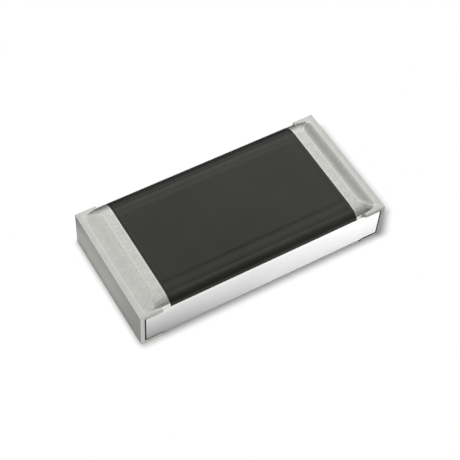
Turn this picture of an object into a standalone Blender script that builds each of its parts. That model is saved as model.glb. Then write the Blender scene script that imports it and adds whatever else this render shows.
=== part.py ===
"""Thick-film chip resistor, 3.2 mm by 1.6 mm, with plated ends.

The chip lies flat: X runs along its length, Y across it and Z up. The origin is the middle of the
underside. Every piece is a layer on a ceramic plate, built up in the order in which it is made. Sizes
are in millimetres and the finished pieces are in metres.
"""

import bpy
import bmesh
from math import asin, atan2, cos, pi, sin, tan
from mathutils import Matrix, Vector

MM_PER_METRE = 1000

# Overall size
CHIP_LENGTH = 3.2
CHIP_WIDTH = 1.6

# Gap between pieces that touch
SEAT = 0.0015

# Ceramic plate
CERAMIC_THICKNESS = 0.423

# Metal layers
TIN = 0.0135
NICKEL = 0.010
TOP_ELECTRODE = 0.010
BOTTOM_ELECTRODE = 0.033
END_ELECTRODE = 0.038
PLATING_CORNER_RADIUS = 0.010
CORNER_STEPS = 4

# Plated flanges, measured from each end of the chip
FLANGE_LENGTH = 0.264
SIDE_SLOT = 0.012

# Raised mound of the overcoat and of the end pads
MOUND_HEIGHT = 0.103
MOUND_WIDTH = 1.566
MOUND_FLAT_WIDTH = 0.90
MOUND_EDGE_POWER = 3.45
MOUND_STEPS = 14
MOUND_STEP_SPREAD = 0.43
MOUND_SKIRT = 0.05
PAD_CORNER_RADIUS = 0.055
PAD_CORNER_STEPS = 6
END_SLOPE_TOP = 0.265
END_SLOPE_FOOT = 0.064
OVERCOAT_SETBACK = 0.382

# Edges of the overcoat, which dips where the film and the glass under it end
COAT_EDGE_POWER = 4.6
COAT_EDGE_STEPS = 8
COAT_STEP_SPREAD = 0.75
FILM_DIP = 0.003
GLASS_DIP = 0.008
DIP_RUN = 0.05
DIP_STEPS = 3

# Resistor film between the top electrodes
RESISTOR_LENGTH = 2.0
FILM_OVERLAP = 0.12
FILM_WIDTH = 1.00
FILM_THICKNESS = 0.014
FILM_RAMP = 0.03

# Glass coat over the film
GLASS_MARGIN_LENGTH = 0.04
GLASS_MARGIN_WIDTH = 0.11
GLASS_THICKNESS = 0.014

# Laser trim cut, an L that enters from the front edge of the film
TRIM_KERF = 0.04
TRIM_START_X = -0.35
TRIM_DEPTH = 0.55
TRIM_RUN = 0.60
TRIM_OVERRUN = 0.10

# Colours, as red, green and blue
ALUMINA_WHITE = (0.88, 0.88, 0.87)
COAT_BLACK = (0.045, 0.045, 0.042)
TIN_GREY = (0.62, 0.61, 0.58)
NICKEL_GREY = (0.50, 0.47, 0.42)
SILVER_WHITE = (0.78, 0.77, 0.74)
FILM_BLACK = (0.03, 0.03, 0.035)
GLASS_GREEN = (0.10, 0.16, 0.13)

# Levels above the underside
ELECTRODE_INSET = TIN + NICKEL + 2 * SEAT
CERAMIC_BOTTOM = ELECTRODE_INSET + BOTTOM_ELECTRODE + SEAT
CERAMIC_TOP = CERAMIC_BOTTOM + CERAMIC_THICKNESS
LAYER_BASE = CERAMIC_TOP + SEAT
ELECTRODE_TOP = LAYER_BASE + TOP_ELECTRODE
FLANGE_TOP = ELECTRODE_TOP + ELECTRODE_INSET
MOUND_TOP = CERAMIC_TOP + MOUND_HEIGHT
FILM_TOP = ELECTRODE_TOP + SEAT + FILM_THICKNESS
GLASS_TOP = FILM_TOP + SEAT + GLASS_THICKNESS

# Places along the chip, measured from its middle
CERAMIC_END = CHIP_LENGTH / 2 - ELECTRODE_INSET - END_ELECTRODE - SEAT
FLANGE_END = CHIP_LENGTH / 2 - FLANGE_LENGTH
OVERCOAT_END = CHIP_LENGTH / 2 - OVERCOAT_SETBACK
PAD_END = OVERCOAT_END + SEAT
ELECTRODE_START = RESISTOR_LENGTH / 2
FILM_END = ELECTRODE_START + FILM_OVERLAP
GLASS_END = FILM_END + GLASS_MARGIN_LENGTH
SLOPE_TOP_X = CHIP_LENGTH / 2 - END_SLOPE_TOP
SLOPE_FOOT_X = CHIP_LENGTH / 2 - END_SLOPE_FOOT
SLOPE_ANGLE = atan2(MOUND_TOP - FLANGE_TOP, SLOPE_FOOT_X - SLOPE_TOP_X)


def clear_scene():
    for item in list(bpy.data.objects):
        bpy.data.objects.remove(item, do_unlink=True)


def make_material(name, colour, metallic, roughness):
    material = bpy.data.materials.new(name)
    material.use_nodes = True
    shader = material.node_tree.nodes["Principled BSDF"]
    shader.inputs["Base Color"].default_value = (*colour, 1.0)
    shader.inputs["Metallic"].default_value = metallic
    shader.inputs["Roughness"].default_value = roughness
    return material


def solid_from(bm):
    """Turn a bmesh into an unlinked helper mesh with outward faces."""
    bmesh.ops.recalc_face_normals(bm, faces=bm.faces)
    mesh = bpy.data.meshes.new("solid")
    bm.to_mesh(mesh)
    bm.free()
    return mesh


def prism(outline, axis, low, high):
    """Extrude a closed outline along one axis; the outline holds the other two coordinates in order."""
    bm = bmesh.new()
    verts = []
    for point in outline:
        place = list(point)
        place.insert(axis, low)
        verts.append(bm.verts.new(place))
    face = bm.faces.new(verts)
    grown = bmesh.ops.extrude_face_region(bm, geom=[face])
    step = Vector((0.0, 0.0, 0.0))
    step[axis] = high - low
    moved = [part for part in grown["geom"] if isinstance(part, bmesh.types.BMVert)]
    bmesh.ops.translate(bm, vec=step, verts=moved)
    return solid_from(bm)


def block(x_range, half_width, z_range):
    """A plain box, centred across the chip."""
    x_low, x_high = x_range
    outline = [(x_low, -half_width), (x_high, -half_width), (x_high, half_width), (x_low, half_width)]
    return prism(outline, 2, *z_range)


def combine(mesh, other, operation):
    """Join or cut two closed solids and keep the result."""
    subject = bpy.data.objects.new("subject", mesh)
    tool = bpy.data.objects.new("tool", other)
    for item in (subject, tool):
        bpy.context.scene.collection.objects.link(item)
    modifier = subject.modifiers.new("combine", "BOOLEAN")
    modifier.operation = operation
    modifier.solver = "EXACT"
    modifier.object = tool
    bpy.context.view_layer.update()
    evaluated = subject.evaluated_get(bpy.context.evaluated_depsgraph_get())
    result = bpy.data.meshes.new_from_object(evaluated)
    for item in (subject, tool):
        bpy.data.objects.remove(item, do_unlink=True)
    return result


def cut(mesh, other):
    return combine(mesh, other, "DIFFERENCE")


def join(mesh, other):
    return combine(mesh, other, "UNION")


def mirrored(mesh):
    """The same solid on the other end of the chip."""
    twin = mesh.copy()
    twin.transform(Matrix.Scale(-1, 4, (1, 0, 0)))
    twin.flip_normals()
    return twin


def place_piece(name, mesh, material, smooth_angle=None):
    mesh.name = name
    mesh.transform(Matrix.Scale(1 / MM_PER_METRE, 4))
    mesh.materials.clear()
    mesh.materials.append(material)
    if smooth_angle is not None:
        mesh.shade_smooth()
        mesh.set_sharp_from_angle(angle=smooth_angle)
    piece = bpy.data.objects.new(name, mesh)
    bpy.context.scene.collection.objects.link(piece)
    return piece


def place_pair(stem, mesh, material, smooth_angle=None):
    twin = mirrored(mesh)
    place_piece(stem + "_left", mesh, material, smooth_angle)
    place_piece(stem + "_right", twin, material, smooth_angle)


def mound_edge(inset):
    """Half of the mound's cross-section, from the edge of its flat top out to its foot.

    The inset is how far the surface lies below the outermost one, so that layers nest.
    """
    flat = MOUND_FLAT_WIDTH / 2
    roll = MOUND_WIDTH / 2 - inset - flat
    height = MOUND_TOP - inset - CERAMIC_TOP
    edge = []
    for step in range(MOUND_STEPS + 1):
        part = (step / MOUND_STEPS) ** MOUND_STEP_SPREAD
        edge.append((flat + roll * part, CERAMIC_TOP + height * (1 - part ** MOUND_EDGE_POWER)))
    return edge + [(flat + roll, CERAMIC_TOP - MOUND_SKIRT)]


def soft_step(value, low, high):
    """Rise from 0 at the low value to 1 at the high one, level at both."""
    part = min(1.0, max(0.0, (value - low) / (high - low)))
    return part * part * (3 - 2 * part)


def coat_level(across):
    """Height of the overcoat at a distance from the middle line of the chip."""
    film_edge = FILM_WIDTH / 2
    glass_edge = film_edge + GLASS_MARGIN_WIDTH
    flat = MOUND_FLAT_WIDTH / 2
    part = max(0.0, across - flat) / (MOUND_WIDTH / 2 - flat)
    drop = (MOUND_HEIGHT - FILM_DIP - GLASS_DIP) * part ** COAT_EDGE_POWER
    drop += FILM_DIP * soft_step(across, film_edge, film_edge + DIP_RUN)
    drop += GLASS_DIP * soft_step(across, glass_edge, glass_edge + DIP_RUN)
    return MOUND_TOP - drop


def coat_outline():
    """Cross-section of the overcoat: level on top, with long edges that dip twice and roll over."""
    half = MOUND_WIDTH / 2
    places = []
    for edge in (FILM_WIDTH / 2, FILM_WIDTH / 2 + GLASS_MARGIN_WIDTH):
        places += [edge + DIP_RUN * step / DIP_STEPS for step in range(DIP_STEPS + 1)]
    roll = half - places[-1]
    start = places[-1]
    for step in range(1, COAT_EDGE_STEPS + 1):
        places.append(start + roll * (step / COAT_EDGE_STEPS) ** COAT_STEP_SPREAD)
    right = [(across, coat_level(across)) for across in places]
    right.append((half, CERAMIC_TOP - MOUND_SKIRT))
    left = [(-across, level) for across, level in reversed(right)]
    return left + right


def slope_distance(level, inset):
    """Distance from the middle of the chip at which the S-shaped end slope comes down to a height."""
    fall = (MOUND_TOP - inset - level) / (MOUND_TOP - FLANGE_TOP)
    fall = min(1.0, max(0.0, fall))
    share = 0.5 - sin(asin(1 - 2 * fall) / 3)
    return SLOPE_TOP_X - inset * tan(SLOPE_ANGLE / 2) + (SLOPE_FOOT_X - SLOPE_TOP_X) * share


def pad_contour(reach, half_width, inner, radius):
    """Level outline of the left end pad, square where it meets the overcoat and rounded at its corners."""
    contour = [(-inner, half_width)]
    for side in (1, -1):
        for step in range(PAD_CORNER_STEPS + 1):
            turn = pi / 2 * (step if side > 0 else PAD_CORNER_STEPS - step) / PAD_CORNER_STEPS
            along = reach - radius + radius * sin(turn)
            across = half_width - radius + radius * cos(turn)
            contour.append((-along, side * across))
    contour.append((-inner, -half_width))
    return contour


def end_mound(inset, inner):
    """The mound over the left end, lofted through level outlines from its top to below the ceramic."""
    bm = bmesh.new()
    loops = []
    for half_width, level in mound_edge(inset):
        reach = slope_distance(level, inset)
        contour = pad_contour(reach, half_width, inner, PAD_CORNER_RADIUS - inset)
        verts = [bm.verts.new((along, across, level)) for along, across in contour]
        loops.append([bm.edges.new((vert, verts[index - 1])) for index, vert in enumerate(verts)])
    bmesh.ops.contextual_create(bm, geom=loops[0])
    bmesh.ops.contextual_create(bm, geom=loops[-1])
    for upper, lower in zip(loops, loops[1:]):
        bmesh.ops.bridge_loops(bm, edges=upper + lower)
    return solid_from(bm)


def rounded_box_outline(x_low, x_high, z_low, z_high, radius):
    """Outline of the plated end seen from the side, with its two outer corners rounded."""
    points = [(x_high, z_low), (x_high, z_high)]
    for centre_z, start in ((z_high - radius, pi / 2), (z_low + radius, pi)):
        for step in range(CORNER_STEPS + 1):
            turn = start + pi / 2 * step / CORNER_STEPS
            points.append((x_low + radius + radius * cos(turn), centre_z + radius * sin(turn)))
    return points


def plated_envelope(inset, inner):
    """Everything inside a plating surface on the left end: the block of the flanges and the mound."""
    radius = PLATING_CORNER_RADIUS
    outline = rounded_box_outline(
        -(CHIP_LENGTH / 2 - inset), -(FLANGE_END + inset), inset, FLANGE_TOP - inset, radius)
    half_width = CHIP_WIDTH / 2 - inset
    clip = prism(outline, 1, -half_width, half_width)
    return join(clip, end_mound(inset, inner))


def ceramic_pocket():
    """Room that the platings leave for the ceramic, with the narrow slot round its end."""
    x_range = (-(CERAMIC_END + SIDE_SLOT), 0.0)
    z_range = (CERAMIC_BOTTOM - SIDE_SLOT, LAYER_BASE)
    return block(x_range, CHIP_WIDTH, z_range)


def plating_layer(inset, thickness):
    """One plated skin on the left end, open towards the ceramic and the overcoat."""
    skin = plated_envelope(inset, PAD_END)
    skin = cut(skin, plated_envelope(inset + thickness, PAD_END - SIDE_SLOT))
    return cut(skin, ceramic_pocket())


def ceramic_substrate():
    return block((-CERAMIC_END, CERAMIC_END), CHIP_WIDTH / 2, (CERAMIC_BOTTOM, CERAMIC_TOP))


def end_electrode():
    x_range = (-(CHIP_LENGTH / 2 - ELECTRODE_INSET), -(CERAMIC_END + SEAT))
    return block(x_range, CHIP_WIDTH / 2 - ELECTRODE_INSET, (ELECTRODE_INSET, ELECTRODE_TOP))


def bottom_electrode():
    x_range = (-CERAMIC_END, -(FLANGE_END + ELECTRODE_INSET))
    return block(x_range, CHIP_WIDTH / 2 - ELECTRODE_INSET, (ELECTRODE_INSET, CERAMIC_BOTTOM - SEAT))


def top_electrode():
    half_width = MOUND_WIDTH / 2 - ELECTRODE_INSET
    return block((-CERAMIC_END, -ELECTRODE_START), half_width, (LAYER_BASE, ELECTRODE_TOP))


def upper_electrode():
    pad = end_mound(ELECTRODE_INSET, PAD_END)
    below = block((-CHIP_LENGTH, 0.0), CHIP_WIDTH, (0.0, ELECTRODE_TOP + SEAT))
    return cut(pad, below)


def trim_outline(kerf):
    """The L of the laser cut, seen from above."""
    half = kerf / 2
    entry = -(FILM_WIDTH / 2 + GLASS_MARGIN_WIDTH + TRIM_OVERRUN)
    turn = -FILM_WIDTH / 2 + TRIM_DEPTH
    end = TRIM_START_X + TRIM_RUN
    return [
        (TRIM_START_X - half, entry),
        (TRIM_START_X + half, entry),
        (TRIM_START_X + half, turn - half),
        (end + half, turn - half),
        (end + half, turn + half),
        (TRIM_START_X - half, turn + half),
    ]


def trim_cutter(kerf):
    return prism(trim_outline(kerf), 2, CERAMIC_TOP - MOUND_SKIRT, MOUND_TOP)


def film_body(growth, bottom_drop):
    """The film as a strip that steps up onto both electrodes, grown by a clearance for its neighbours."""
    step_x = ELECTRODE_START - SEAT
    end = FILM_END + growth
    low = LAYER_BASE - bottom_drop
    ledge = ELECTRODE_TOP + SEAT - bottom_drop
    sunk = LAYER_BASE + FILM_THICKNESS + growth
    raised = FILM_TOP + growth
    ramp_top = step_x - FILM_THICKNESS
    ramp_foot = ramp_top - FILM_RAMP
    right = [(step_x, low), (step_x, ledge), (end, ledge), (end, raised)]
    right += [(ramp_top, raised), (ramp_foot, sunk)]
    left = [(-across, level) for across, level in reversed(right)]
    half_width = FILM_WIDTH / 2 + growth
    return prism(right + left, 1, -half_width, half_width)


def glass_body(growth, bottom_drop):
    """The outside of the glass coat, down to the ceramic and the electrodes."""
    step_x = ELECTRODE_START - SEAT
    end = GLASS_END + growth
    low = LAYER_BASE - bottom_drop
    ledge = ELECTRODE_TOP + SEAT - bottom_drop
    right = [(step_x, low), (step_x, ledge), (end, ledge), (end, GLASS_TOP + growth)]
    left = [(-across, level) for across, level in reversed(right)]
    half_width = FILM_WIDTH / 2 + GLASS_MARGIN_WIDTH + growth
    return prism(right + left, 1, -half_width, half_width)


def resistor_film():
    return cut(film_body(0.0, 0.0), trim_cutter(TRIM_KERF))


def glass_coat():
    coat = cut(glass_body(0.0, 0.0), film_body(SEAT, 2 * TOP_ELECTRODE))
    return cut(coat, trim_cutter(TRIM_KERF))


def overcoat():
    """The black mound, hollow underneath for the glass and the electrodes, with a fin down the trim cut."""
    mound = prism(coat_outline(), 0, -OVERCOAT_END, OVERCOAT_END)
    mound = cut(mound, block((-CHIP_LENGTH, CHIP_LENGTH), CHIP_WIDTH, (0.0, LAYER_BASE)))
    electrode_width = MOUND_WIDTH / 2 - ELECTRODE_INSET + SEAT
    under_top = (CERAMIC_TOP - MOUND_SKIRT, ELECTRODE_TOP + SEAT)
    for x_range in ((-CHIP_LENGTH, -ELECTRODE_START + SEAT), (ELECTRODE_START - SEAT, CHIP_LENGTH)):
        mound = cut(mound, block(x_range, electrode_width, under_top))
    glass = cut(glass_body(SEAT, 2 * TOP_ELECTRODE), trim_cutter(TRIM_KERF - 2 * SEAT))
    return cut(mound, glass)


def build():
    clear_scene()
    alumina = make_material("alumina", ALUMINA_WHITE, 0.0, 0.45)
    black_coat = make_material("black_coat", COAT_BLACK, 0.0, 0.18)
    tin = make_material("tin", TIN_GREY, 1.0, 0.32)
    nickel = make_material("nickel", NICKEL_GREY, 1.0, 0.35)
    silver = make_material("silver", SILVER_WHITE, 1.0, 0.45)
    film = make_material("resistive_film", FILM_BLACK, 0.0, 0.60)
    glass = make_material("glass_glaze", GLASS_GREEN, 0.0, 0.15)
    round_edges = pi / 6

    place_piece("ceramic_substrate", ceramic_substrate(), alumina)
    place_pair("bottom_electrode", bottom_electrode(), silver)
    place_pair("top_electrode", top_electrode(), silver)
    place_piece("resistor_film", resistor_film(), film)
    place_piece("glass_coat", glass_coat(), glass)
    place_piece("overcoat", overcoat(), black_coat, round_edges)
    place_pair("upper_electrode", upper_electrode(), silver, round_edges)
    place_pair("end_electrode", end_electrode(), silver)
    place_pair("nickel_barrier", plating_layer(TIN + SEAT, NICKEL), nickel, round_edges)
    place_pair("tin_plating", plating_layer(0.0, TIN), tin, round_edges)


build()
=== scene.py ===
"""Looks of a thick-film chip resistor: white ceramic, black overcoat and bright plated ends.

Lengths in the settings are in metres. The shapes are worked in millimetres, because the chip is only
a few millimetres long, and each finished mesh is brought to metres.
"""

from math import cos, exp, pi, radians, sin

import bmesh
import bpy
from bpy.props import FloatProperty, FloatVectorProperty, PointerProperty
from bpy.types import Operator, Panel, PropertyGroup
from mathutils import Matrix, Vector


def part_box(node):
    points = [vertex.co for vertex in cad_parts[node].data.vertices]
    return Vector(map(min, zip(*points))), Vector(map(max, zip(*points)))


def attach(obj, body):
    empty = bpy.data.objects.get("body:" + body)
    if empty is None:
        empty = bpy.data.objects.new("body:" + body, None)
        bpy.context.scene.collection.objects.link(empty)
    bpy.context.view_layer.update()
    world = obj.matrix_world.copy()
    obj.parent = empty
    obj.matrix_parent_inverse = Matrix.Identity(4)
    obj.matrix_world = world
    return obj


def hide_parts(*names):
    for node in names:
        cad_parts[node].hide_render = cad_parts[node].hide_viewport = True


bl_info = {
    "name": "Chip Resistor Look",
    "version": (1, 0, 0),
    "blender": (4, 5, 0),
    "location": "View3D > Sidebar > Chip Resistor",
    "description": "Models and finishes the ceramic, overcoat and plated ends of a chip resistor",
    "category": "Object",
}

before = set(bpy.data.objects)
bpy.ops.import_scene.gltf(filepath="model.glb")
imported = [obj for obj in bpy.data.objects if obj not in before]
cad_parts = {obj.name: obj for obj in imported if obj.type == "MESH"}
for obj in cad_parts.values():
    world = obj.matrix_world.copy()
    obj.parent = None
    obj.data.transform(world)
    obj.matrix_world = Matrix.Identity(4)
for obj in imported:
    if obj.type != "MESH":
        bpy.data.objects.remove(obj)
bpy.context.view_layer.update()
MM = 0.001


def box_mm(node):
    """Low and high corner of one of the part's solids, in millimetres."""
    low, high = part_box(node)
    return low / MM, high / MM


CERAMIC_LOW, CERAMIC_HIGH = box_mm("ceramic_substrate")
COAT_LOW, COAT_HIGH = box_mm("overcoat")
CAP_LOW, CAP_HIGH = box_mm("tin_plating_left")
ELECTRODE_HIGH = box_mm("top_electrode_left")[1]

# Distances from the middle of the chip to its ends and to its long sides
CHIP_END = -CAP_LOW.x
CHIP_SIDE = CAP_HIGH.y


# Shapes: every length below is in millimetres

# Height of the nickel, the tin and the clearances under them, and the clearance over the ceramic
PLATED_HEIGHT = 0.0265
LAYER_GAP = 0.0015

# Heights of the level flange on top of a plated end and of the foot of the plating's walls
FLANGE_TOP = ELECTRODE_HIGH.z + PLATED_HEIGHT
WALL_FOOT = CERAMIC_HIGH.z + LAYER_GAP

# The C on each side of an end: the rise of its slot's upper inner corner and the gap under its lower arm,
# both as shares of the slot's width
CORNER_RISE = 0.4
ARM_GAP = {"left": 0.45, "right": 1.0}

# How the overcoat's edges roll over: powers of the two curves, and where the front one starts past the film
REAR_POWER = 4.6
FRONT_POWER = 4.5
FRONT_START = 0.08

# Where the overcoat dips, from the edge of the layer below it, and where its front swells again and by
# what share of the dip
FILM_DIP = (-0.005, 0.045)
GLASS_DIP = (-0.025, 0.035)
FRONT_SWELL = (0.045, 0.115)
SWELL_SHARE = 0.35

# Where across the coat its rear starts to reach further, and the width of the last strip along each edge
REAR_STRETCH = 0.70
COAT_STRIP = 0.004

# The thickened print edge: the place of its crest before the coat's end, its half-width, the fall from
# there to the end, and the heights over the base between which the lift sets in
CREST_INSET = 0.034
CREST_WIDTH = 0.014
CREST_FALL = 0.0012
LIFT_HEIGHTS = (0.01, 0.08)

# Steps of the finer curves
COAT_EDGE_STEPS = 52
COAT_END_STEPS = 26
SLOPE_STEPS = 40
FLANGE_STEPS = 30
TONGUE_STEPS = 8
PAD_SIDE_STEPS = 48

# Where the overcoat's finer cuts start along it, and the plain cuts nearer the middle of coat and pad
COAT_END_START = 1.08
COAT_PLAIN_CUT = 0.6
PAD_PLAIN_CUT = 0.2

# Widths of the plain strips by the chip's end on the flange and by the fold on the tongue
FLANGE_STRIP = 0.06
TONGUE_STRIP = 0.005

# How near two places count as one: in cuts and in the coat, in the plating, and when edges are looked up
CUT_NEAR = 1e-5
PLATING_NEAR = 2e-5
NEAR = 1e-4

# How near the chip's outer faces an edge still counts as lying on them
OUTER_NEAR = 1e-3


# Looks

# Painted highlight lines on the pads, seen from above: start and end along and across the chip, and
# half-width
RIDGE_LINE = ((1.335, -0.10), (1.337, 0.590), 0.011)
HIP_LINES = (((1.337, 0.595), (1.423, 0.684), 0.018), ((1.423, 0.684), (1.515, 0.722), 0.018))
FOOT_LINE = ((1.528, -0.10), (1.526, 0.745), 0.011)

# Half-widths of the painted highlight lines along the overcoat's ends and the chip's ends
RIM_WIDTH = 0.030
END_WIDTH = 0.016

# Painted highlight down the tongues' sides: where it sets in and fades out across the chip, how far it runs
# on the left and on the right, and the length over which it fades there
LIP_SETS_IN = (0.766, 0.771)
LIP_FADES = (0.777, 0.782)
LIP_REACH = (1.335, 1.285)
LIP_TAIL = 0.03

# How strongly the painted highlight on the hip on the right shows too
HIP_HIGHLIGHT = 0.6

# Painted shade beside the right tongue: its place along the chip, its half-width, and where it sets in
# across
SHADE_SPOT_PLACE = 1.310
SHADE_SPOT_WIDTH = 0.026
SHADE_SPOT_SETS_IN = (0.757, 0.764)

# Soft patches of studio light: azimuth from the chip's right end towards its rear, elevation, spread in
# degrees, and strength, where a strength below zero is a dark gap between the lights
LIGHT_PATCHES = (
    (0, 6, 38, 0.630), (180, 6, 38, 1.072), (225, 6, 38, 0.101),
    (45, 30, 38, 0.605), (90, 30, 38, 0.488), (135, 30, 38, 0.500), (225, 30, 38, 1.728),
    (0, 58, 38, 0.347), (60, 58, 38, 0.292), (120, 58, 38, 0.374), (180, 58, 38, 0.308),
    (240, 58, 38, 0.271), (300, 58, 38, 0.243), (0, 90, 40, 0.147),
    (15, 70, 20, 0.420), (60, 40, 16, 0.420), (43, 62, 8, -0.600),
)

# Fill lamps by the front right: place in millimetres and power in watts, and the place that they light
FILL_LAMPS = (((3.6, -3.4, 1.6), 0.0000965), ((2.5, -3.0, 4.0), 0.0000340))
FILL_AIM = (1.0, -0.8, 0.3)

# Camera: place in millimetres, its axes as the columns of a turn, and focal length in millimetres
CAMERA_PLACE = (-4.7680, -7.1158, 12.0001)
CAMERA_TURN = (
    (0.86282, 0.38634, -0.32601),
    (-0.50353, 0.71396, -0.48654),
    (0.04479, 0.58396, 0.81055),
)
CAMERA_LENS = 97.65


# Settings

def length_setting(name, description, default):
    """A length whose default is given in millimetres."""
    return FloatProperty(name=name, description=description, default=default * MM, min=0.0,
                         subtype="DISTANCE", unit="LENGTH", precision=7)


def colour_setting(name, description, default):
    return FloatVectorProperty(name=name, description=description, default=default, size=3, min=0.0,
                               max=1.0, subtype="COLOR")


class CeramicSettings(PropertyGroup):
    edge_radius: length_setting("Edge radius", "Rounding of the fired edges", 0.005)
    colour: colour_setting("Colour", "Colour of the alumina", (0.90, 0.90, 0.90))


class OvercoatSettings(PropertyGroup):
    flat_width: length_setting("Flat width", "Width of the level top before the rear edge rolls over", 0.90)
    film_edge: length_setting("Film edge", "From the middle to where the coat dips past the film", 0.50)
    film_dip: length_setting("Film dip", "How far the coat drops past the film's edge", 0.0030)
    glass_edge: length_setting("Glass edge", "From the middle to where it dips past the glass", 0.635)
    glass_dip: length_setting("Glass dip", "How far the coat drops past the glass's edge", 0.0080)
    rear_reach: length_setting("Rear reach", "How much further the coat runs towards the rear", 0.0100)
    end_ridge: length_setting("End ridge", "Height of the thickened print edge at each end", 0.0016)
    colour: colour_setting("Colour", "Colour of the black coat", (0.0163, 0.0163, 0.0133))


class PlatingSettings(PropertyGroup):
    skin: length_setting("Skin", "Thickness of the plating", 0.0135)
    flange: length_setting("Flange", "Length of the folded flanges", 0.264)
    edge_radius: length_setting("Edge radius", "Rounding of the plated edges", 0.007)
    slot: length_setting("Slot", "Width of the slot between the plating and the ceramic's sides", 0.018)
    tongue_lean: length_setting("Tongue lean", "How far the tongue's wall leans out to its foot", 0.0130)
    flat_width: length_setting("Flat width", "Width of the pad's level top before its sides fall", 1.08)
    side_fall: length_setting("Side fall", "Drop of the pad's side at the tongue's wall", 0.0700)
    side_power: FloatProperty(name="Side power", description="How late and steeply the pad's sides fall",
                              default=2.9, min=1.0, max=8.0)
    corner: length_setting("Corner", "Radius of the pad's corners", 0.075)
    taper: length_setting("Taper", "How much each side of the pad draws in towards its foot", 0.030)
    slope_top: length_setting("Slope top", "Distance from the chip's end to the top of the slope", 0.262)
    slope_foot: length_setting("Slope foot", "Distance from the chip's end to the foot of the slope", 0.066)
    colour: colour_setting("Colour", "Colour of the satin tin", (0.668, 0.662, 0.630))


class StageSettings(PropertyGroup):
    floor_size: length_setting("Floor size", "Width of the floor", 400.0)
    shadow_reach: length_setting("Shadow reach", "Width over which the contact shadow fades out", 0.12)
    fill_size: length_setting("Fill size", "Diameter of each fill lamp", 1.5)
    backdrop: colour_setting("Backdrop", "Colour of the floor away from the chip", (1.0, 1.0, 1.0))


# Nodes

def new_group(name, inputs, outputs):
    """A shader node group with named number sockets; each input is a name and a default."""
    group = bpy.data.node_groups.new(name, "ShaderNodeTree")
    for socket_name, default in inputs:
        socket = group.interface.new_socket(socket_name, in_out="INPUT", socket_type="NodeSocketFloat")
        socket.default_value = default
    for socket_name in outputs:
        group.interface.new_socket(socket_name, in_out="OUTPUT", socket_type="NodeSocketFloat")
    return group, group.nodes.new("NodeGroupInput"), group.nodes.new("NodeGroupOutput")


def maths(tree, operation, first, second=None):
    """A maths node fed by sockets or numbers; gives its output."""
    node = tree.nodes.new("ShaderNodeMath")
    node.operation = operation
    for socket, value in zip(node.inputs, (first, second)):
        if isinstance(value, (int, float)):
            socket.default_value = value
        elif value is not None:
            tree.links.new(value, socket)
    return node.outputs[0]


def combine(tree, operation, first, *others):
    """One maths operation taken over several values in turn."""
    for other in others:
        first = maths(tree, operation, first, other)
    return first


def place_mm(tree):
    """Object coordinates in millimetres."""
    coordinates = tree.nodes.new("ShaderNodeTexCoord")
    mapping = tree.nodes.new("ShaderNodeMapping")
    mapping.inputs["Scale"].default_value = (1 / MM, 1 / MM, 1 / MM)
    tree.links.new(coordinates.outputs["Object"], mapping.inputs["Vector"])
    return mapping.outputs["Vector"]


def place_parts(tree):
    """Object coordinates in millimetres as three values: along the chip, across it and up."""
    parts = tree.nodes.new("ShaderNodeSeparateXYZ")
    tree.links.new(place_mm(tree), parts.inputs["Vector"])
    return parts.outputs["X"], parts.outputs["Y"], parts.outputs["Z"]


def noise(tree, place, scale, detail, roughness=0.5):
    node = tree.nodes.new("ShaderNodeTexNoise")
    node.inputs["Detail"].default_value = detail
    node.inputs["Roughness"].default_value = roughness
    tree.links.new(place, node.inputs["Vector"])
    tree.links.new(scale, node.inputs["Scale"])
    return node.outputs["Fac"]


def spread_line(tree, value, low, high, curve="LINEAR"):
    """Stretch a value so that low gives 0 and high gives 1, evenly between; low may be the greater one."""
    node = tree.nodes.new("ShaderNodeMapRange")
    node.interpolation_type = curve
    node.inputs["From Min"].default_value = low
    node.inputs["From Max"].default_value = high
    tree.links.new(value, node.inputs["Value"])
    return node.outputs["Result"]


def spread(tree, value, low, high):
    """Stretch a value in the same way, but with soft ends."""
    return spread_line(tree, value, low, high, "SMOOTHSTEP")


def between(tree, factor, low, high):
    """The value from low to high that a factor of 0 to 1 picks."""
    node = tree.nodes.new("ShaderNodeMapRange")
    node.inputs["To Min"].default_value = low
    node.inputs["To Max"].default_value = high
    tree.links.new(factor, node.inputs["Value"])
    return node.outputs["Result"]


def surface_grain_group():
    """Cloudy mottling and fine grain, shared by every finish on the chip."""
    group, entry, result = new_group(
        "surface_grain",
        [("Cloud Scale", 6.0), ("Grain Scale", 60.0), ("Grain Share", 0.5)],
        ["Cloud", "Grain", "Height"],
    )
    place = place_mm(group)
    cloud = spread(group, noise(group, place, entry.outputs["Cloud Scale"], 3.0), 0.3, 0.7)
    grain = spread(group, noise(group, place, entry.outputs["Grain Scale"], 2.0, 0.6), 0.3, 0.7)
    share = entry.outputs["Grain Share"]
    raised_grain = maths(group, "MULTIPLY", grain, share)
    raised_cloud = maths(group, "MULTIPLY", cloud, maths(group, "SUBTRACT", 1.0, share))
    group.links.new(cloud, result.inputs["Cloud"])
    group.links.new(grain, result.inputs["Grain"])
    group.links.new(maths(group, "ADD", raised_grain, raised_cloud), result.inputs["Height"])
    return group


def distance_line(tree, value, centre, half_width):
    """A soft line where a coordinate passes a centre: 1 on the line and 0 away from it."""
    offset = maths(tree, "ABSOLUTE", maths(tree, "SUBTRACT", value, centre))
    return spread(tree, offset, half_width, 0.0)


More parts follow.
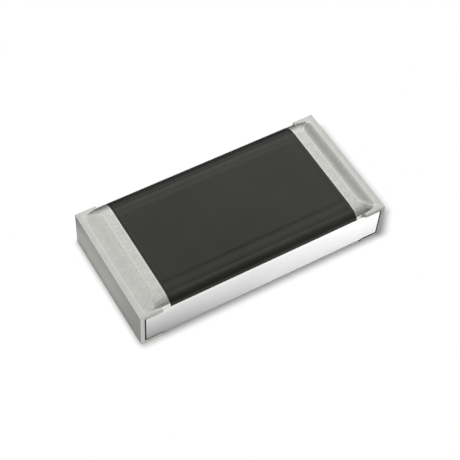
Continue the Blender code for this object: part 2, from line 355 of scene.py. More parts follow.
def pad_line(tree, along, across, start, end, half_width):
    """A soft line on the pad between two places seen from above, fading out beyond both."""
    run = Vector(end) - Vector(start)
    length = run.length
    heading = run / length
    along_gap = maths(tree, "SUBTRACT", along, start[0])
    across_gap = maths(tree, "SUBTRACT", across, start[1])
    travel = maths(tree, "ADD", maths(tree, "MULTIPLY", across_gap, heading.y),
                   maths(tree, "MULTIPLY", along_gap, heading.x))
    offset = maths(tree, "SUBTRACT", maths(tree, "MULTIPLY", across_gap, heading.x),
                   maths(tree, "MULTIPLY", along_gap, heading.y))
    near = spread(tree, maths(tree, "ABSOLUTE", offset), half_width, 0.0)
    begun = spread(tree, travel, -half_width, half_width)
    ended = spread(tree, travel, length + half_width, length - half_width)
    return combine(tree, "MULTIPLY", begun, ended, near)


def painted_tin_light_group():
    """Painted light on the plating: highlight lines on the pad and both ends, a strong highlight down the
    tongues and a shade spot.
    """
    group, _, result = new_group("painted_tin_light", [], ["Painted Highlight", "Painted Bright Highlight", "Painted Shade"])
    x, y, _ = place_parts(group)
    along = maths(group, "ABSOLUTE", x)
    across = maths(group, "ABSOLUTE", y)
    # Painted highlight lines along the pad's ridge, hips and foot, the coat's ends and the chip's ends
    ridge = pad_line(group, along, across, *RIDGE_LINE)
    hip = combine(group, "MAXIMUM", *[pad_line(group, along, across, *line) for line in HIP_LINES])
    foot = pad_line(group, along, across, *FOOT_LINE)
    rim = distance_line(group, along, COAT_HIGH.x, RIM_WIDTH)
    end = distance_line(group, along, CHIP_END, END_WIDTH)
    group.links.new(combine(group, "MAXIMUM", ridge, hip, foot, rim, end), result.inputs["Painted Highlight"])

    # Painted highlight down each tongue's side, and a stronger one on the hip on the right
    right = spread(group, x, -0.1, 0.1)
    lip_highlight = maths(group, "SUBTRACT", spread(group, across, *LIP_SETS_IN), spread(group, across, *LIP_FADES))
    before_tip = maths(group, "SUBTRACT", between(group, right, *LIP_REACH), along)
    lip_highlight = maths(group, "MULTIPLY", lip_highlight, spread(group, before_tip, 0.0, LIP_TAIL))
    hip_highlight = combine(group, "MULTIPLY", hip, right, HIP_HIGHLIGHT)
    group.links.new(maths(group, "MAXIMUM", lip_highlight, hip_highlight), result.inputs["Painted Bright Highlight"])

    # Painted shade where the flange's end stands over the right tongue
    shade_spot = distance_line(group, x, SHADE_SPOT_PLACE, SHADE_SPOT_WIDTH)
    shade_spot = maths(group, "MULTIPLY", shade_spot, spread(group, across, *SHADE_SPOT_SETS_IN))
    group.links.new(shade_spot, result.inputs["Painted Shade"])
    return group


# Materials

def new_material(name):
    material = bpy.data.materials.new(name)
    material.use_nodes = True
    tree = material.node_tree
    return material, tree, tree.nodes["Principled BSDF"]


def use_group(tree, group, **values):
    """Place a node group; an underscore in a value's name stands for the space in its socket's name."""
    node = tree.nodes.new("ShaderNodeGroup")
    node.node_tree = group
    for socket_name, value in values.items():
        node.inputs[socket_name.replace("_", " ")].default_value = value
    return node


def blend_colours(tree, factor, dark, light):
    """Mix two colours, each a socket or three numbers; a factor of 0 gives the first."""
    node = tree.nodes.new("ShaderNodeMix")
    node.data_type = "RGBA"
    tree.links.new(factor, node.inputs["Factor"])
    for socket, value in ((node.inputs[6], dark), (node.inputs[7], light)):
        if isinstance(value, bpy.types.NodeSocket):
            tree.links.new(value, socket)
        else:
            socket.default_value = (*value, 1.0)
    return node.outputs[2]


def multiply_colours(tree, first, second):
    node = tree.nodes.new("ShaderNodeMix")
    node.data_type = "RGBA"
    node.blend_type = "MULTIPLY"
    node.inputs["Factor"].default_value = 1.0
    tree.links.new(first, node.inputs[6])
    tree.links.new(second, node.inputs[7])
    return node.outputs[2]


def shade(colour, amount):
    return tuple(min(1.0, part * amount) for part in colour)


def grey(level):
    return (level, level, level)


def add_grain(tree, shader, grain, smooth, rough, height):
    """Vary the roughness with the grain, and raise the grain by a height in millimetres."""
    tree.links.new(between(tree, grain.outputs["Grain"], smooth, rough), shader.inputs["Roughness"])
    bump = tree.nodes.new("ShaderNodeBump")
    bump.inputs["Distance"].default_value = height * MM
    tree.links.new(grain.outputs["Height"], bump.inputs["Height"])
    tree.links.new(bump.outputs["Normal"], shader.inputs["Normal"])


def ceramic_painted_light(tree, x, z):
    """Painted light on the ceramic's sides: painted shade darker towards the foot, most on the left, and a
    painted highlight along the top.
    """
    right = spread_line(tree, x, CERAMIC_LOW.x, 0.1)
    # Painted shade: darker towards the foot, most of all on the left
    painted_foot_shade = blend_colours(tree, right, grey(0.42), grey(0.94))
    height = spread_line(tree, z, CERAMIC_LOW.z, CERAMIC_HIGH.z)
    painted_shading = blend_colours(tree, height, painted_foot_shade, grey(1.03))
    # Painted highlight along the top rim
    rim = spread(tree, z, CERAMIC_HIGH.z - 0.012, CERAMIC_HIGH.z - 0.006)
    return blend_colours(tree, rim, painted_shading, grey(1.10))


def joint_painted_shade(tree, x, z):
    """Painted shade in the slots round the ceramic where it lies in the plating: at its foot, its top and
    its ends.
    """
    along = maths(tree, "ABSOLUTE", x)
    at_foot = spread(tree, z, CERAMIC_LOW.z + 0.018, CERAMIC_LOW.z + 0.008)
    at_top = spread(tree, z, CERAMIC_HIGH.z - 0.009, CERAMIC_HIGH.z - 0.002)
    in_plating = spread(tree, along, 1.31, 1.35)
    at_edges = maths(tree, "MULTIPLY", maths(tree, "MAXIMUM", at_foot, at_top), in_plating)
    at_end = spread(tree, along, CERAMIC_HIGH.x - 0.003, CERAMIC_HIGH.x - 0.0005)
    # Colour of the painted shade in the slots
    return blend_colours(tree, maths(tree, "MAXIMUM", at_edges, at_end), grey(1.0), (0.10, 0.10, 0.09))


def fired_alumina(colour, grain_group):
    material, tree, shader = new_material("fired_alumina")
    grain = use_group(tree, grain_group, Cloud_Scale=2.2, Grain_Scale=70.0, Grain_Share=0.6)
    base = blend_colours(tree, grain.outputs["Cloud"], shade(colour, 0.975), shade(colour, 1.02))
    base = blend_colours(tree, grain.outputs["Grain"], shade(colour, 0.965), base)
    x, _, z = place_parts(tree)
    # Painted shade and highlight on the sides, then painted shade in the slots by the plating
    base = multiply_colours(tree, base, ceramic_painted_light(tree, x, z))
    base = multiply_colours(tree, base, joint_painted_shade(tree, x, z))
    tree.links.new(base, shader.inputs["Base Color"])
    add_grain(tree, shader, grain, 0.42, 0.56, 0.0004)
    return material


def black_overcoat(colour, grain_group):
    material, tree, shader = new_material("black_overcoat")
    grain = use_group(tree, grain_group, Cloud_Scale=1.6, Grain_Scale=38.0, Grain_Share=0.35)
    base = blend_colours(tree, grain.outputs["Cloud"], shade(colour, 0.86), shade(colour, 1.12))
    tree.links.new(base, shader.inputs["Base Color"])
    shader.inputs["IOR"].default_value = 1.45
    add_grain(tree, shader, grain, 0.17, 0.23, 0.0003)
    return material


def satin_tin(colour, grain_group, painted_light_group):
    """Grainy tin with painted highlights and a painted shade spot; the grain is calmer from the slope on
    and strongest on the end.
    """
    material, tree, shader = new_material("satin_tin")
    grain = use_group(tree, grain_group, Cloud_Scale=9.0, Grain_Scale=50.0, Grain_Share=0.55)
    painted_light = use_group(tree, painted_light_group)
    along = maths(tree, "ABSOLUTE", place_parts(tree)[0])
    on_slope = spread(tree, along, 1.32, 1.36)
    at_end = spread(tree, along, CHIP_END - 0.003, CHIP_END - 0.001)
    dark = blend_colours(tree, on_slope, shade(colour, 0.88), shade(colour, 0.93))
    dark = blend_colours(tree, at_end, dark, shade(colour, 0.78))
    light = blend_colours(tree, on_slope, shade(colour, 1.12), shade(colour, 1.07))
    light = blend_colours(tree, at_end, light, shade(colour, 1.30))
    tin = blend_colours(tree, grain.outputs["Grain"], dark, light)
    tin = multiply_colours(tree, tin, blend_colours(tree, grain.outputs["Cloud"], grey(0.95), grey(1.0)))
    # Painted highlights, a stronger painted highlight and a painted shade spot
    for mark, amount in (("Painted Highlight", 1.12), ("Painted Bright Highlight", 1.48), ("Painted Shade", 0.30)):
        tin = blend_colours(tree, painted_light.outputs[mark], tin, shade(colour, amount))
    tree.links.new(tin, shader.inputs["Base Color"])
    shader.inputs["Metallic"].default_value = 1.0
    add_grain(tree, shader, grain, 0.30, 0.40, 0.0011)
    return material


def inner_metal(name, colour, rough, grain_group):
    material, tree, shader = new_material(name)
    grain = use_group(tree, grain_group, Cloud_Scale=7.0, Grain_Scale=50.0, Grain_Share=0.6)
    base = blend_colours(tree, grain.outputs["Cloud"], shade(colour, 0.90), shade(colour, 1.05))
    tree.links.new(base, shader.inputs["Base Color"])
    shader.inputs["Metallic"].default_value = 1.0
    add_grain(tree, shader, grain, rough - 0.05, rough + 0.08, 0.0006)
    return material


def inner_print(name, dark, light, rough, grain_group):
    """A printed and fired layer that isn't metal: the resistor film and the glass."""
    material, tree, shader = new_material(name)
    grain = use_group(tree, grain_group, Cloud_Scale=4.0, Grain_Scale=45.0, Grain_Share=0.5)
    tree.links.new(blend_colours(tree, grain.outputs["Cloud"], dark, light), shader.inputs["Base Color"])
    add_grain(tree, shader, grain, rough - 0.05, rough + 0.08, 0.0006)
    return material


def shared_groups():
    """The node groups, made the first time that a finish asks for them."""
    made = bpy.data.node_groups
    grain = made.get("surface_grain") or surface_grain_group()
    painted_light = made.get("painted_tin_light") or painted_tin_light_group()
    return grain, painted_light


# Curves and mesh steps

def soft_step(value, low, high):
    """0 below low and 1 above high, with a smooth rise between."""
    part = min(1.0, max(0.0, (value - low) / (high - low)))
    return part * part * (3 - 2 * part)


def past_edge(across, edge, span):
    """How far the coat is through a dip or swell that spans a range about the edge of a layer below."""
    return soft_step(across, edge + span[0], edge + span[1])


def edge_roll(across, start, depth, power):
    """How far the coat's surface has come down over its rounded edge."""
    part = max(0.0, (across - start) / (COAT_HIGH.y - start))
    return depth * min(1.0, part) ** power


def rear_drop(across, settings):
    """How far the coat's rear half lies below its top: it dips past the film, then past the glass."""
    film = settings.film_dip / 2 / MM
    glass = settings.glass_dip / MM
    depth = COAT_HIGH.z - CERAMIC_HIGH.z - film - glass
    drop = edge_roll(across, settings.flat_width / 2 / MM, depth, REAR_POWER)
    drop += film * past_edge(across, settings.film_edge / MM, FILM_DIP)
    return drop + glass * past_edge(across, settings.glass_edge / MM, GLASS_DIP)


def front_drop(across, settings):
    """How far the front half lies below the top: it is fuller, and the step of the glass doesn't show."""
    film = settings.film_dip / MM
    film_edge = settings.film_edge / MM
    swell = film * SWELL_SHARE
    depth = COAT_HIGH.z - CERAMIC_HIGH.z - film + swell
    drop = edge_roll(across, film_edge + FRONT_START, depth, FRONT_POWER)
    drop += film * past_edge(across, film_edge, FILM_DIP)
    return drop - swell * past_edge(across, film_edge, FRONT_SWELL)


def tongue_side(plating):
    """Distance from the middle line to the head of the wall along the tongue."""
    return COAT_HIGH.y - plating.tongue_lean / MM


def across_at(drop, plating):
    """Distance from the middle line at which the pad's side has come down by a drop."""
    flat = plating.flat_width / 2 / MM
    part = (drop / (plating.side_fall / MM)) ** (1 / plating.side_power)
    return flat + (tongue_side(plating) - flat) * part


def pad_contours(plating):
    """Nested level outlines of the raised pad: how far each reaches along and across, and its drop."""
    top = CHIP_END - plating.slope_top / MM
    run = (plating.slope_top - plating.slope_foot) / MM
    contours = []
    for share in spaced(0.0, 1.0, SLOPE_STEPS):
        drop = (CAP_HIGH.z - FLANGE_TOP) * soft_step(share, 0.0, 1.0)
        contours.append((top + run * share, across_at(drop, plating), drop))
    return contours


def pad_drop(along, across, contours, radius):
    """How far the rounded pad lies below its top at a place, read between its nested outlines."""
    last_gap = None
    last_drop = 0.0
    for reach, half, drop in contours:
        over_along = max(0.0, along - reach + radius)
        over_across = max(0.0, across - half + radius)
        gap = (over_along * over_along + over_across * over_across) ** 0.5 - radius
        if gap <= 0:
            if last_gap is None:
                return 0.0
            return last_drop + (drop - last_drop) * last_gap / (last_gap - gap)
        last_gap = gap
        last_drop = drop
    return last_drop


def pad_level(along, across, plating, contours):
    """Height of the plated end's upper surface: the tongue beside the overcoat, the pad and the flange."""
    fold = CHIP_END - plating.flange / MM
    drawn_in = plating.taper / MM * soft_step(along, fold, CHIP_END - plating.slope_foot / MM)
    return CAP_HIGH.z - pad_drop(along, across + drawn_in, contours, plating.corner / MM)


def spaced(low, high, count):
    return [low + (high - low) * step / count for step in range(count + 1)]


def both_sides(places):
    """The same places on both sides of the middle."""
    return [-place for place in places] + places


def chain(bm, points):
    """Edges in a run from point to point."""
    verts = [bm.verts.new(point) for point in points]
    return [bm.edges.new(pair) for pair in zip(verts, verts[1:])]


def new_verts(grown):
    """The vertices that an extrusion added."""
    return [part for part in grown["geom"] if isinstance(part, bmesh.types.BMVert)]


def slice_across(bm, normal, places):
    """Cut every face of a bmesh by parallel planes."""
    for place in sorted(places):
        bmesh.ops.bisect_plane(bm, geom=bm.verts[:] + bm.edges[:] + bm.faces[:], dist=CUT_NEAR,
                               plane_co=Vector(normal) * place, plane_no=normal)


def round_edges(bm, edges, radius):
    """Round edges by a radius in metres."""
    bmesh.ops.bevel(bm, geom=edges, offset=radius / MM, offset_type="OFFSET", affect="EDGES",
                    segments=3, profile=0.5, material=-1, clamp_overlap=True)


def to_piece(bm, name, material, node, sharp_angle=pi / 5):
    """Finish a bmesh in millimetres as a smooth-shaded piece in metres that stands for its node."""
    bmesh.ops.scale(bm, vec=(MM, MM, MM), verts=bm.verts)
    mesh = bpy.data.meshes.new(name)
    bm.to_mesh(mesh)
    bm.free()
    mesh.shade_smooth()
    mesh.set_sharp_from_angle(angle=sharp_angle)
    mesh.materials.append(material)
    piece = bpy.data.objects.new(name, mesh)
    bpy.context.scene.collection.objects.link(piece)
    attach(piece, "root")
    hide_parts(node)


# Pieces

class CHIP_OT_ceramic(Operator):
    """Model the white ceramic chip with its fired edges"""

    bl_idname = "chip.ceramic"
    bl_label = "Ceramic"

    def execute(self, context):
        settings = context.scene.chip_ceramic
        grain, _ = shared_groups()
        bm = bmesh.new()
        bmesh.ops.create_cube(bm, size=1.0)
        bmesh.ops.scale(bm, vec=CERAMIC_HIGH - CERAMIC_LOW, verts=bm.verts)
        bmesh.ops.translate(bm, vec=(CERAMIC_HIGH + CERAMIC_LOW) / 2, verts=bm.verts)
        round_edges(bm, bm.edges[:], settings.edge_radius)
        to_piece(bm, "ceramic_body", fired_alumina(settings.colour, grain), "ceramic_substrate")
        return {"FINISHED"}


class CHIP_OT_overcoat(Operator):
    """Model the black overcoat with its rolled edges and thickened ends"""

    bl_idname = "chip.overcoat"
    bl_label = "Overcoat"

    def section(self, settings):
        """Outline of the coat's cross-section: over its top to the rear, and back along its base."""
        half = COAT_HIGH.y
        flat = settings.flat_width / 2 / MM
        reach = settings.rear_reach / MM
        crown = COAT_HIGH.z - settings.end_ridge / MM
        stops = [flat * 0.5] + spaced(flat, half - COAT_STRIP, COAT_EDGE_STEPS) + [half]
        front = [(-across, crown - front_drop(across, settings)) for across in stops]
        rear = []
        for across in [0.0] + stops:
            stretched = across + reach * soft_step(across, REAR_STRETCH, half)
            rear.append((stretched, crown - rear_drop(across, settings)))
        base = [(half + reach - COAT_STRIP, COAT_LOW.z), (-half + COAT_STRIP, COAT_LOW.z)]
        return [(across, max(level, COAT_LOW.z)) for across, level in front[::-1] + rear + base]

    def thicken_ends(self, bm, settings):
        """Raise the print edge near each end, and let the top fall a little from there to the end."""
        crest = COAT_HIGH.x - CREST_INSET
        lift_from, lift_to = (COAT_LOW.z + height for height in LIFT_HEIGHTS)
        for vert in bm.verts:
            along = abs(vert.co.x)
            lift = settings.end_ridge / MM * exp(-((along - crest) / CREST_WIDTH) ** 2)
            fall = CREST_FALL * soft_step(along, crest, COAT_HIGH.x)
            vert.co.z += (lift - fall) * soft_step(vert.co.z, lift_from, lift_to)

    def execute(self, context):
        settings = context.scene.chip_overcoat
        grain, _ = shared_groups()
        bm = bmesh.new()
        ring = [bm.verts.new((COAT_LOW.x, across, level)) for across, level in self.section(settings)]
        grown = bmesh.ops.extrude_face_region(bm, geom=[bm.faces.new(ring)])
        bmesh.ops.translate(bm, vec=(COAT_HIGH.x - COAT_LOW.x, 0, 0), verts=new_verts(grown))
        cuts = [COAT_PLAIN_CUT] + spaced(COAT_END_START, COAT_HIGH.x - COAT_STRIP, COAT_END_STEPS)
        slice_across(bm, (1, 0, 0), both_sides(cuts) + [0.0])
        self.thicken_ends(bm, settings)
        bmesh.ops.remove_doubles(bm, verts=bm.verts, dist=CUT_NEAR)
        bmesh.ops.recalc_face_normals(bm, faces=bm.faces)
        to_piece(bm, "overcoat_shell", black_overcoat(settings.colour, grain), "overcoat")
        return {"FINISHED"}


class CHIP_OT_platings(Operator):
    """Model the two plated ends, each a thin skin over flanges, end and raised pad"""

    bl_idname = "chip.platings"
    bl_label = "Plated Ends"

    def folded_skin(self, bm, plating):
        """Fold a skin from the tongue round the end, cut along the pad's sides; gives its side outline."""
        end = CAP_LOW.x
        fold = end + plating.flange / MM
        foot = tongue_side(plating)
        tongue = [(along, FLANGE_TOP) for along in spaced(CAP_HIGH.x, fold + TONGUE_STRIP, TONGUE_STEPS)]
        flange = [(along, FLANGE_TOP) for along in spaced(fold, end + FLANGE_STRIP, FLANGE_STEPS)]
        outline = flange + [(end, FLANGE_TOP), (end, CAP_LOW.z), (fold, CAP_LOW.z)]
        edges = chain(bm, [(along, -CHIP_SIDE, level) for along, level in tongue + outline])
        grown = bmesh.ops.extrude_edge_only(bm, edges=edges)
        bmesh.ops.translate(bm, vec=(0, 2 * CHIP_SIDE, 0), verts=new_verts(grown))
        flat = plating.flat_width / 2 / MM
        lines = [PAD_PLAIN_CUT] + spaced(flat, foot, PAD_SIDE_STEPS) + [(foot + CHIP_SIDE) / 2]
        slice_across(bm, (0, 1, 0), both_sides(lines))
        beside = []
        for face in bm.faces:
            middle = face.calc_center_median()
            if middle.x > fold and abs(middle.y) > foot:
                beside.append(face)
        bmesh.ops.delete(bm, geom=beside, context="FACES")
        return outline

    def close_side(self, bm, plating, outline, across, arm_gap):
        """Close one side of the end: a C round the ceramic with a narrow slot between the two."""
        slot = plating.slot / MM
        fold = CAP_LOW.x + plating.flange / MM
        order = {(round(x, 4), round(z, 4)): index for index, (x, z) in enumerate(outline)}
        rim = [vert for vert in bm.verts if abs(vert.co.y - across) < NEAR and vert.co.x < fold + NEAR]
        rim.sort(key=lambda vert: order[(round(vert.co.x, 4), round(vert.co.z, 4))])
        inside = CERAMIC_LOW.x - slot
        arm = CERAMIC_LOW.z - slot * arm_gap
        corners = [(fold, arm), (inside, arm), (inside, WALL_FOOT + slot * CORNER_RISE), (fold, WALL_FOOT)]
        bm.faces.new(rim + [bm.verts.new((along, across, level)) for along, level in corners])

    def raise_pad(self, bm, plating):
        """Raise the skin's top to the pad and the tongue."""
        contours = pad_contours(plating)
        for vert in bm.verts:
            on_top = abs(vert.co.z - FLANGE_TOP) < NEAR and vert.co.x > CAP_LOW.x + NEAR
            if on_top and abs(vert.co.y) < CHIP_SIDE - NEAR:
                vert.co.z = pad_level(-vert.co.x, abs(vert.co.y), plating, contours)

    def drop_walls(self, bm, plating):
        """Draw walls down from the flange's inner edges and from the sides of the tongue."""
        fold = CAP_LOW.x + plating.flange / MM
        foot = tongue_side(plating)
        open_edges = [edge for edge in bm.edges if edge.is_boundary]
        flange_ends = [edge for edge in open_edges
                       if self.lies_at(edge, 0, fold) and edge.verts[0].co.z > WALL_FOOT
                       and min(abs(vert.co.y) for vert in edge.verts) > foot - NEAR]
        tongue_sides = [edge for edge in open_edges if self.lies_at(edge, 1, foot)
                        and max(vert.co.x for vert in edge.verts) > fold + NEAR]
        for edges, lean in ((flange_ends, 0.0), (tongue_sides, plating.tongue_lean / MM)):
            for vert in new_verts(bmesh.ops.extrude_edge_only(bm, edges=edges)):
                vert.co.z = WALL_FOOT
                vert.co.y += lean if vert.co.y > 0 else -lean

    def lies_at(self, edge, axis, place):
        return all(abs(abs(vert.co[axis]) - abs(place)) < NEAR for vert in edge.verts)

    def faces_inwards(self, bm):
        end = min(bm.faces, key=lambda face: face.calc_center_median().x)
        return end.normal.x > 0

    def is_outer_corner(self, edge):
        """Whether an edge is a sharp one where two of the chip's outer faces meet."""
        if len(edge.link_faces) != 2 or edge.calc_face_angle(0.0) < pi / 3:
            return False
        middle = (edge.verts[0].co + edge.verts[1].co) / 2
        level = middle.z < OUTER_NEAR or abs(middle.z - FLANGE_TOP) < OUTER_NEAR
        at_side = abs(middle.y) > CHIP_SIDE - OUTER_NEAR
        at_end = middle.x < CAP_LOW.x + OUTER_NEAR
        return sum((level, at_side, at_end)) >= 2

    def make_end(self, plating, material, word):
        """Model one end as the left one, and mirror it for the right."""
        bm = bmesh.new()
        outline = self.folded_skin(bm, plating)
        for across in (-CHIP_SIDE, CHIP_SIDE):
            self.close_side(bm, plating, outline, across, ARM_GAP[word])
        self.raise_pad(bm, plating)
        self.drop_walls(bm, plating)
        bmesh.ops.remove_doubles(bm, verts=bm.verts, dist=PLATING_NEAR)
        bmesh.ops.recalc_face_normals(bm, faces=bm.faces)
        if self.faces_inwards(bm):
            bmesh.ops.reverse_faces(bm, faces=bm.faces)
        bmesh.ops.solidify(bm, geom=bm.faces[:], thickness=plating.skin / MM)
        round_edges(bm, [edge for edge in bm.edges if self.is_outer_corner(edge)], plating.edge_radius)
        if word == "right":
            bmesh.ops.scale(bm, vec=(-1, 1, 1), verts=bm.verts)
            bmesh.ops.reverse_faces(bm, faces=bm.faces)
        to_piece(bm, "plated_end_" + word, material, "tin_plating_" + word, pi / 4)

    def execute(self, context):
        plating = context.scene.chip_plating
        material = satin_tin(plating.colour, *shared_groups())
        for word in ("left", "right"):
            self.make_end(plating, material, word)
        return {"FINISHED"}


class CHIP_OT_inner_layers(Operator):
    """Finish the printed and plated layers inside the chip"""

    bl_idname = "chip.inner_layers"
    bl_label = "Inner Layers"

    def execute(self, context):
        grain, _ = shared_groups()
        nickel = inner_metal("plated_nickel", (0.30, 0.28, 0.25), 0.42, grain)
        silver = inner_metal("fired_silver", (0.74, 0.73, 0.70), 0.46, grain)
        film = inner_print("resistive_print", (0.020, 0.020, 0.024), (0.045, 0.044, 0.048), 0.60, grain)
        glass = inner_print("glass_glaze_coat", (0.07, 0.12, 0.095), (0.12, 0.19, 0.15), 0.20, grain)
        layers = {"resistor_film": film, "glass_coat": glass}
        for word in ("_left", "_right"):
            layers["nickel_barrier" + word] = nickel
            for stem in ("bottom_electrode", "top_electrode", "upper_electrode", "end_electrode"):
                layers[stem + word] = silver
        for node, finish in layers.items():
            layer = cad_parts[node]
            layer.data.materials.clear()
            layer.data.materials.append(finish)
        return {"FINISHED"}


# Stage

def floor_painted_shade(tree, side, depth):
    """Painted shade in the floor's colour near the chip: palest before it, and dark past its right end and
    behind it.
    """
    before = spread(tree, depth, -CHIP_SIDE + 0.08, -CHIP_SIDE)
    beyond = spread(tree, side, CHIP_END - 0.1, CHIP_END + 0.02)
    behind = spread(tree, depth, CHIP_SIDE, CHIP_SIDE + 0.5)
    painted_shading = blend_colours(tree, spread_line(tree, side, -1.6, 1.5), grey(0.74), grey(0.41))
    painted_shading = blend_colours(tree, before, grey(0.42), painted_shading)
    painted_shading = blend_colours(tree, beyond, painted_shading, grey(0.28))
    return blend_colours(tree, behind, painted_shading, grey(0.10))


def past_chip(tree, side, depth, starts, right_share=1.0):
    """Distance past the chip's outline, where the right, left, front and rear each have their own start."""
    right, left, front, rear = starts
    from_right = maths(tree, "SUBTRACT", side, maths(tree, "ADD", right, CHIP_END))
    gaps = (
        maths(tree, "MULTIPLY", from_right, right_share),
        maths(tree, "SUBTRACT", -CHIP_END - left, side),
        maths(tree, "SUBTRACT", -CHIP_SIDE - front, depth),
        maths(tree, "SUBTRACT", depth, maths(tree, "ADD", rear, CHIP_SIDE)),
    )
    squares = [maths(tree, "POWER", maths(tree, "MAXIMUM", gap, 0.0), 2.0) for gap in gaps]
    return maths(tree, "SQRT", combine(tree, "ADD", *squares))


def seen_backdrop(tree, side, depth, reach):
    """1 where the camera sees the plain backdrop, and 0 in the contact shadow, widest past the right."""
    right = between(tree, spread_line(tree, depth, -0.80, -0.58), -0.02, 0.167)
    rear = between(tree, spread(tree, side, -CHIP_END, -1.3), -0.05, 0.11)
    return spread(tree, past_chip(tree, side, depth, (right, -0.05, -0.020, rear), 0.57), 0.0, reach)


def mirrored_backdrop(tree, side, depth):
    """How much backdrop the chip mirrors: all far from it, and a share by its front and its left end."""
    far = spread(tree, past_chip(tree, side, depth, (0.0, 0.0, 0.0, 0.0)), 10.0, 40.0)
    by_front = maths(tree, "MULTIPLY", spread(tree, depth, -CHIP_SIDE + 0.03, -CHIP_SIDE - 0.05),
                     between(tree, spread(tree, side, 1.42, 1.70), 0.54, 0.25))
    in_front = spread(tree, depth, -CHIP_SIDE - 0.8, -CHIP_SIDE - 2.5)
    by_left = combine(tree, "MULTIPLY", spread(tree, side, -CHIP_END, -CHIP_END - 0.03),
                      between(tree, spread(tree, depth, -0.7, 0.2), 0.06, 0.30),
                      between(tree, spread(tree, side, -1.66, -1.86), 1.0, 0.45))
    return combine(tree, "MAXIMUM", far, by_front, in_front, by_left)


def floor_material(settings):
    """A pale floor that keeps the contact shadow close to the chip and is plain beyond it."""
    material, tree, shader = new_material("pale_floor")
    shader.inputs["Roughness"].default_value = 0.9
    shader.inputs["Specular IOR Level"].default_value = 0.0
    side, depth, _ = place_parts(tree)
    # Painted shade in the floor's colour near the chip
    tree.links.new(floor_painted_shade(tree, side, depth), shader.inputs["Base Color"])
    seen = seen_backdrop(tree, side, depth, settings.shadow_reach / MM)
    mirrored = mirrored_backdrop(tree, side, depth)
    rays = tree.nodes.new("ShaderNodeLightPath")
    bounced = maths(tree, "MAXIMUM", rays.outputs["Is Glossy Ray"], rays.outputs["Is Transmission Ray"])
    shown = maths(tree, "MAXIMUM", maths(tree, "MULTIPLY", rays.outputs["Is Camera Ray"], seen),
                  maths(tree, "MULTIPLY", bounced, mirrored))
    glow = tree.nodes.new("ShaderNodeEmission")
    glow.inputs["Color"].default_value = (*settings.backdrop, 1.0)
    mix = tree.nodes.new("ShaderNodeMixShader")
    tree.links.new(shown, mix.inputs["Fac"])
    tree.links.new(shader.outputs["BSDF"], mix.inputs[1])
    tree.links.new(glow.outputs["Emission"], mix.inputs[2])
    tree.links.new(mix.outputs["Shader"], tree.nodes["Material Output"].inputs["Surface"])
    return material


def studio_world(scene):
    """Soft studio surroundings, built up from wide round patches of light in a dim room."""
    world = bpy.data.worlds.new("studio")
    scene.world = world
    world.use_nodes = True
    tree = world.node_tree
    background = tree.nodes["Background"]
    direction = tree.nodes.new("ShaderNodeTexCoord").outputs["Generated"]
    patches = []
    for azimuth, elevation, width, strength in LIGHT_PATCHES:
        turn = radians(azimuth)
        rise = radians(elevation)
        dot = tree.nodes.new("ShaderNodeVectorMath")
        dot.operation = "DOT_PRODUCT"
        dot.inputs[1].default_value = (cos(turn) * cos(rise), sin(turn) * cos(rise), sin(rise))
        tree.links.new(direction, dot.inputs[0])
        patch = spread(tree, dot.outputs["Value"], cos(radians(width)), 1.0)
        patches.append(maths(tree, "MULTIPLY", patch, strength))
    tree.links.new(combine(tree, "ADD", *patches), background.inputs["Strength"])
    background.inputs["Color"].default_value = (1.0, 1.0, 1.0, 1.0)


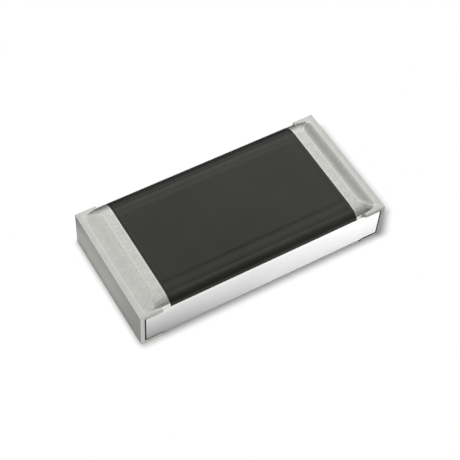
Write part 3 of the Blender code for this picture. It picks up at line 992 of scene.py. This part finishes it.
class CHIP_OT_stage(Operator):
    """Set the floor, the studio light and the camera"""

    bl_idname = "chip.stage"
    bl_label = "Stage"

    def add_floor(self, context, settings):
        """A floor just under the chip, so that the two don't touch."""
        bm = bmesh.new()
        bmesh.ops.create_grid(bm, x_segments=1, y_segments=1, size=settings.floor_size / 2)
        bmesh.ops.translate(bm, vec=(0, 0, -0.002 * MM), verts=bm.verts)
        mesh = bpy.data.meshes.new("floor")
        bm.to_mesh(mesh)
        bm.free()
        mesh.materials.append(floor_material(settings))
        floor = bpy.data.objects.new("floor", mesh)
        context.scene.collection.objects.link(floor)

    def add_lamp(self, context, settings, place, power):
        """A fill that lights the ceramic and the floor but leaves no glint in the metal."""
        lamp = bpy.data.lights.new("fill", "AREA")
        lamp.shape = "DISK"
        lamp.size = settings.fill_size
        lamp.energy = power
        stand = bpy.data.objects.new("fill", lamp)
        stand.location = Vector(place) * MM
        stand.rotation_euler = (Vector(place) - Vector(FILL_AIM)).to_track_quat("Z", "Y").to_euler()
        stand.visible_glossy = False
        context.scene.collection.objects.link(stand)

    def add_camera(self, context):
        camera = bpy.data.cameras.new("camera")
        camera.lens = CAMERA_LENS
        camera.sensor_width = 36.0
        camera.clip_start = 0.2 * MM
        camera.clip_end = 2.0
        view = bpy.data.objects.new("camera", camera)
        view.matrix_world = Matrix.Translation(Vector(CAMERA_PLACE) * MM) @ Matrix(CAMERA_TURN).to_4x4()
        context.scene.collection.objects.link(view)
        context.scene.camera = view

    def execute(self, context):
        settings = context.scene.chip_stage
        self.add_floor(context, settings)
        studio_world(context.scene)
        for place, power in FILL_LAMPS:
            self.add_lamp(context, settings, place, power)
        self.add_camera(context)
        context.scene.view_settings.view_transform = "Standard"
        return {"FINISHED"}


# Panel and start

class CHIP_PT_panel(Panel):
    """Sidebar list of the chip's pieces and their settings"""

    bl_idname = "CHIP_PT_panel"
    bl_label = "Chip Resistor"
    bl_space_type = "VIEW_3D"
    bl_region_type = "UI"
    bl_category = "Chip Resistor"

    def draw(self, context):
        scene = context.scene
        groups = (
            ("chip.ceramic", scene.chip_ceramic),
            ("chip.overcoat", scene.chip_overcoat),
            ("chip.platings", scene.chip_plating),
            ("chip.inner_layers", None),
            ("chip.stage", scene.chip_stage),
        )
        for operator, settings in groups:
            column = self.layout.column(align=True)
            column.operator(operator)
            if settings:
                for name in settings.__annotations__:
                    column.prop(settings, name)


SETTINGS = {
    "chip_ceramic": CeramicSettings,
    "chip_overcoat": OvercoatSettings,
    "chip_plating": PlatingSettings,
    "chip_stage": StageSettings,
}
CLASSES = (*SETTINGS.values(), CHIP_OT_ceramic, CHIP_OT_overcoat, CHIP_OT_platings, CHIP_OT_inner_layers,
           CHIP_OT_stage, CHIP_PT_panel)


def register():
    for item in CLASSES:
        bpy.utils.register_class(item)
    for name, kind in SETTINGS.items():
        setattr(bpy.types.Scene, name, PointerProperty(type=kind))


def unregister():
    for name in SETTINGS:
        delattr(bpy.types.Scene, name)
    for item in reversed(CLASSES):
        bpy.utils.unregister_class(item)


def main():
    register()
    bpy.ops.chip.stage()
    bpy.ops.chip.ceramic()
    bpy.ops.chip.overcoat()
    bpy.ops.chip.platings()
    bpy.ops.chip.inner_layers()


if __name__ == "__main__":
    main()
